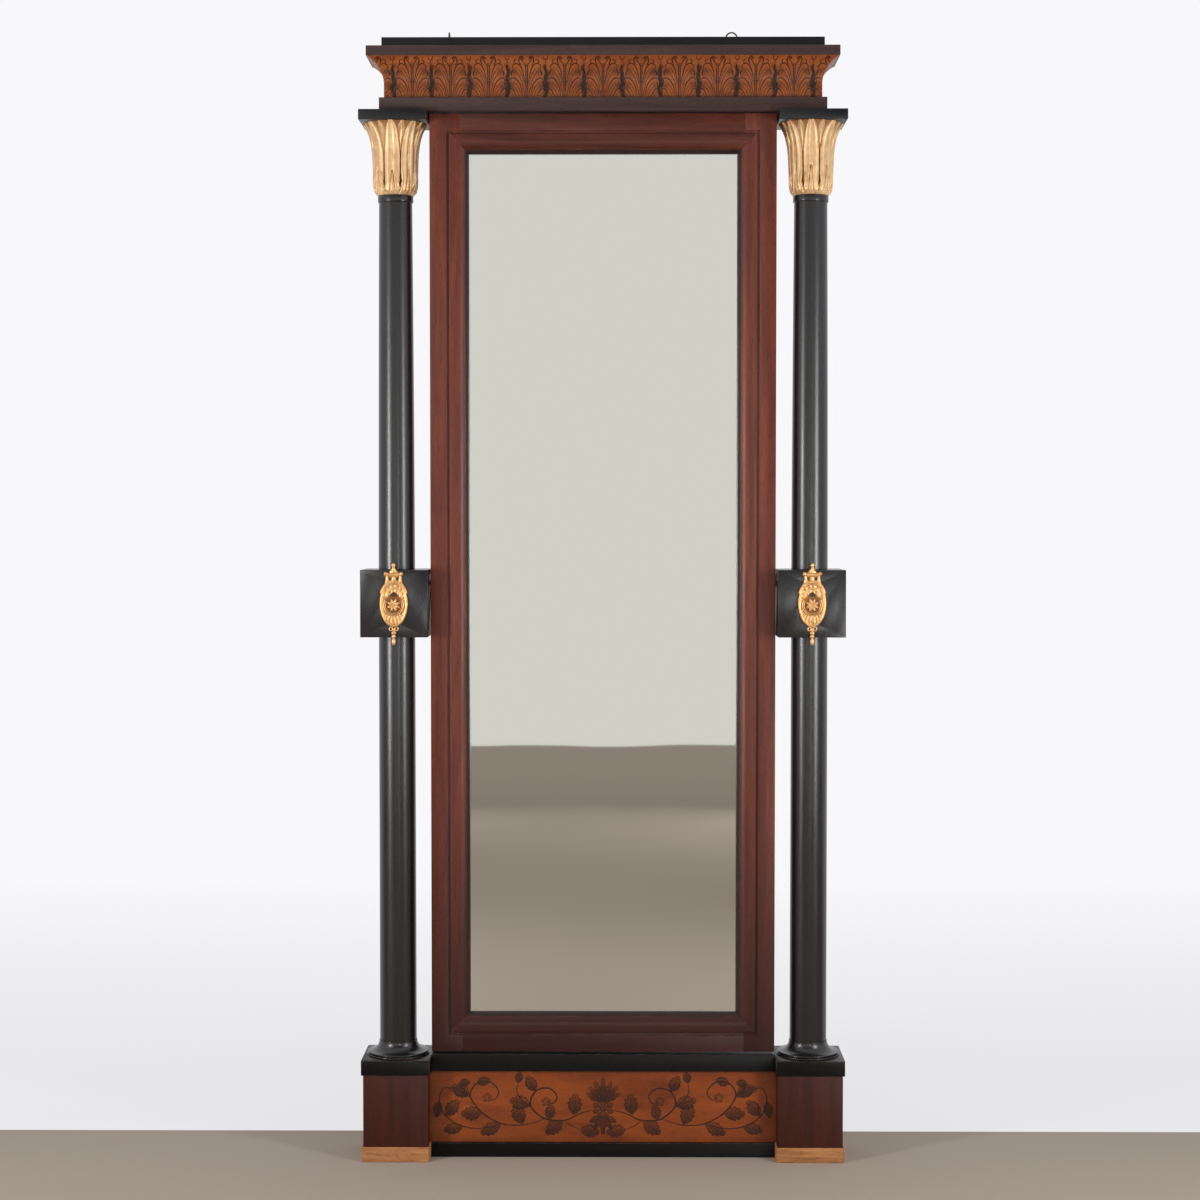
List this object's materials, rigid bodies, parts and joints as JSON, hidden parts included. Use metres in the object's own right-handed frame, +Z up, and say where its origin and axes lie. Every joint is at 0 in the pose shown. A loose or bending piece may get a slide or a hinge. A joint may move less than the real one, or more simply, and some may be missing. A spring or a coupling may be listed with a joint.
{
  "type": "floor mirror",
  "caption": "Tall dressing mirror in a standing portal: the framed glass tilts on two pins between columns with gilt leaf capitals, on plinths and under a coved cornice.",
  "frame": {"origin": "on the floor, under the middle of the part's box", "axes": "+Z up, the front faces -Y, +X to the viewer's right"},
  "size_m": [0.994, 0.1489, 2.3276],
  "materials": {
    "mahogany_frame": "French-polished mahogany veneer, worn satin",
    "mahogany_plinth": "dark polished mahogany veneer",
    "ebonised": "black stain under shellac, satin",
    "cornice_dark": "dark brown stained fruitwood, satin",
    "penwork_frieze": "honey veneer with ink penwork, polished",
    "penwork_panel": "honey veneer with ink penwork, polished",
    "raw_foot": "bare pine, unfinished",
    "pine": "old unfinished pine",
    "gilt": "gold leaf on carved wood",
    "ormolu": "fire-gilt cast brass",
    "iron": "blackened iron",
    "steel_wire": "dull steel wire",
    "glass_slip": "black-brown stained slip",
    "mirror": "old silvered glass"
  },
  "bodies": {
    "stand": {"foot_left": "raw_foot", "foot_right": "raw_foot", "plinth_left": "mahogany_plinth", "plinth_right": "mahogany_plinth", "plinth_cap_left": "ebonised", "plinth_cap_right": "ebonised", "base_lower_rail": "ebonised", "base_top_rail": "ebonised", "base_panel": "penwork_panel", "base_back_panel": "pine", "base_glue_blocks": "pine", "column_base_left": "ebonised", "column_base_right": "ebonised", "lower_shaft_left": "ebonised", "lower_shaft_right": "ebonised", "column_block_left": "ebonised", "column_block_right": "ebonised", "upper_shaft_left": "ebonised", "upper_shaft_right": "ebonised", "necking_ring_left": "ebonised", "necking_ring_right": "ebonised", "capital_left": "gilt", "capital_right": "gilt", "abacus_left": "ebonised", "abacus_right": "ebonised", "escutcheon_left": "ormolu", "escutcheon_right": "ormolu", "escutcheon_pins": "ormolu", "pivot_bush_left": "iron", "pivot_bush_right": "iron", "cornice_lower_fillet": "cornice_dark", "cornice_frieze_front": "penwork_frieze", "cornice_return_left": "penwork_frieze", "cornice_return_right": "penwork_frieze", "cornice_back_board": "pine", "cornice_glue_blocks": "pine", "cornice_corona": "cornice_dark", "cornice_top_plate": "ebonised", "cornice_dowels": "pine", "wall_eye_left": "steel_wire", "wall_eye_right": "steel_wire"},
    "mirror": {"frame_stile_left": "mahogany_frame", "frame_stile_right": "mahogany_frame", "frame_rail_top": "mahogany_frame", "frame_rail_bottom": "mahogany_frame", "sight_moulding_left": "mahogany_frame", "sight_moulding_right": "mahogany_frame", "sight_moulding_top": "mahogany_frame", "sight_moulding_bottom": "mahogany_frame", "glass_slip": "glass_slip", "mirror_glass": "mirror", "glazing_blocks": "pine", "backboards": "pine", "backboard_screws": "iron", "pivot_plate_left": "iron", "pivot_plate_right": "iron", "pivot_plate_screws": "iron"}
  },
  "joints": [
    {"name": "mirror_tilt", "type": "hinge", "parent": "stand", "child": "mirror", "pos_m": [0, 0.0035, 1.19], "axis": [1, 0, 0], "range_deg": [-20, 20]}
  ]
}
